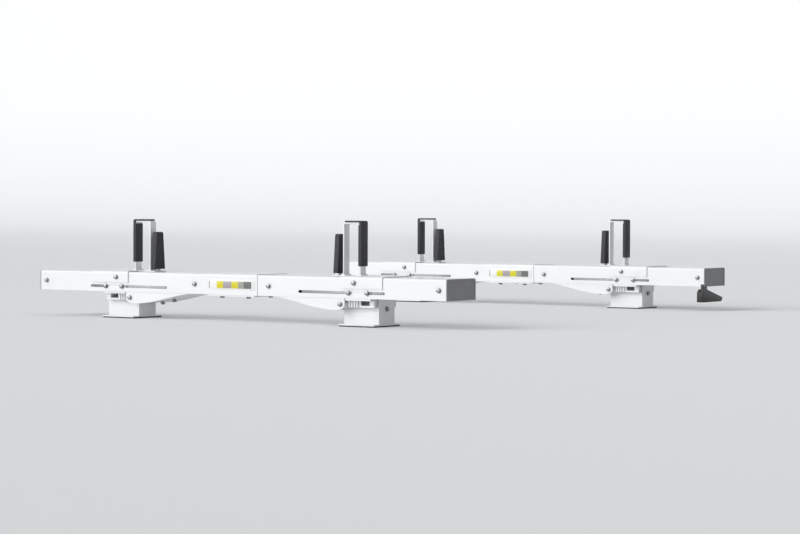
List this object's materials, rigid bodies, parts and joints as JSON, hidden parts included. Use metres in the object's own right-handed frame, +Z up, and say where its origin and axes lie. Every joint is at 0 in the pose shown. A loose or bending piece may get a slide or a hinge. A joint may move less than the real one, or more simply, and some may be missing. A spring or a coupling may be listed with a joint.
{
  "type": "ladder rack",
  "caption": "Ladder rack for a truck cap: painted channel crossbars on bolted feet, with wing-shaped braces and rubber-faced ladder stops that slide along each bar.",
  "frame": {"origin": "centre of the rack's footprint, at the underside of the foot pads, midway between the crossbars", "axes": "+X to the vehicle's left, +Y rearward, +Z up"},
  "size_m": [1.7, 1.9418, 0.338],
  "materials": {
    "paint": "satin white powder coat",
    "end_cap": "fine-grained grey moulding",
    "rubber": "matte black rubber",
    "cleat": "matte black moulding",
    "zinc": "dark zinc plating",
    "label": "striped film, no lettering"
  },
  "bodies": {
    "rack": {"front_crossbar_left": "paint", "front_crossbar_right": "paint", "front_joint_sleeve": "paint", "front_joint_cover": "paint", "front_joint_plate": "paint", "front_label": "label", "front_brace_left": "paint", "front_brace_right": "paint", "front_end_cap_left": "end_cap", "front_end_cap_right": "end_cap", "front_foot_left": "paint", "front_foot_right": "paint", "front_foot_clamp_left": "paint", "front_foot_clamp_right": "paint", "front_foot_pad_left": "rubber", "front_foot_pad_right": "rubber", "front_wall_bolts": "zinc", "front_foot_bolts": "zinc", "front_under_bolts": "zinc", "rear_crossbar_left": "paint", "rear_crossbar_right": "paint", "rear_joint_sleeve": "paint", "rear_joint_cover": "paint", "rear_joint_plate": "paint", "rear_label": "label", "rear_brace_left": "paint", "rear_brace_right": "paint", "rear_end_cap_left": "end_cap", "rear_end_cap_right": "end_cap", "rear_foot_left": "paint", "rear_foot_right": "paint", "rear_foot_clamp_left": "paint", "rear_foot_clamp_right": "paint", "rear_foot_pad_left": "rubber", "rear_foot_pad_right": "rubber", "rear_wall_bolts": "zinc", "rear_foot_bolts": "zinc", "rear_under_bolts": "zinc", "rear_tie_down_cleat": "cleat"},
    "front_left_stop": {"front_left_stop_saddle": "paint", "front_left_stop_strap": "paint", "front_left_stop_sleeve": "rubber", "front_left_stop_pad": "rubber", "front_left_stop_bolts": "zinc"},
    "front_right_stop": {"front_right_stop_saddle": "paint", "front_right_stop_strap": "paint", "front_right_stop_sleeve": "rubber", "front_right_stop_pad": "rubber", "front_right_stop_bolts": "zinc"},
    "rear_left_stop": {"rear_left_stop_saddle": "paint", "rear_left_stop_strap": "paint", "rear_left_stop_sleeve": "rubber", "rear_left_stop_pad": "rubber", "rear_left_stop_bolts": "zinc"},
    "rear_right_stop": {"rear_right_stop_saddle": "paint", "rear_right_stop_strap": "paint", "rear_right_stop_sleeve": "rubber", "rear_right_stop_pad": "rubber", "rear_right_stop_bolts": "zinc"}
  },
  "joints": [
    {"name": "front_left_stop_slide", "type": "slide", "parent": "rack", "child": "front_left_stop", "axis": [1, 0, 0], "range_m": [-0.25, 0.2]},
    {"name": "front_right_stop_slide", "type": "slide", "parent": "rack", "child": "front_right_stop", "axis": [-1, 0, 0], "range_m": [-0.25, 0.2]},
    {"name": "rear_left_stop_slide", "type": "slide", "parent": "rack", "child": "rear_left_stop", "axis": [1, 0, 0], "range_m": [-0.25, 0.2]},
    {"name": "rear_right_stop_slide", "type": "slide", "parent": "rack", "child": "rear_right_stop", "axis": [-1, 0, 0], "range_m": [-0.25, 0.2]}
  ]
}
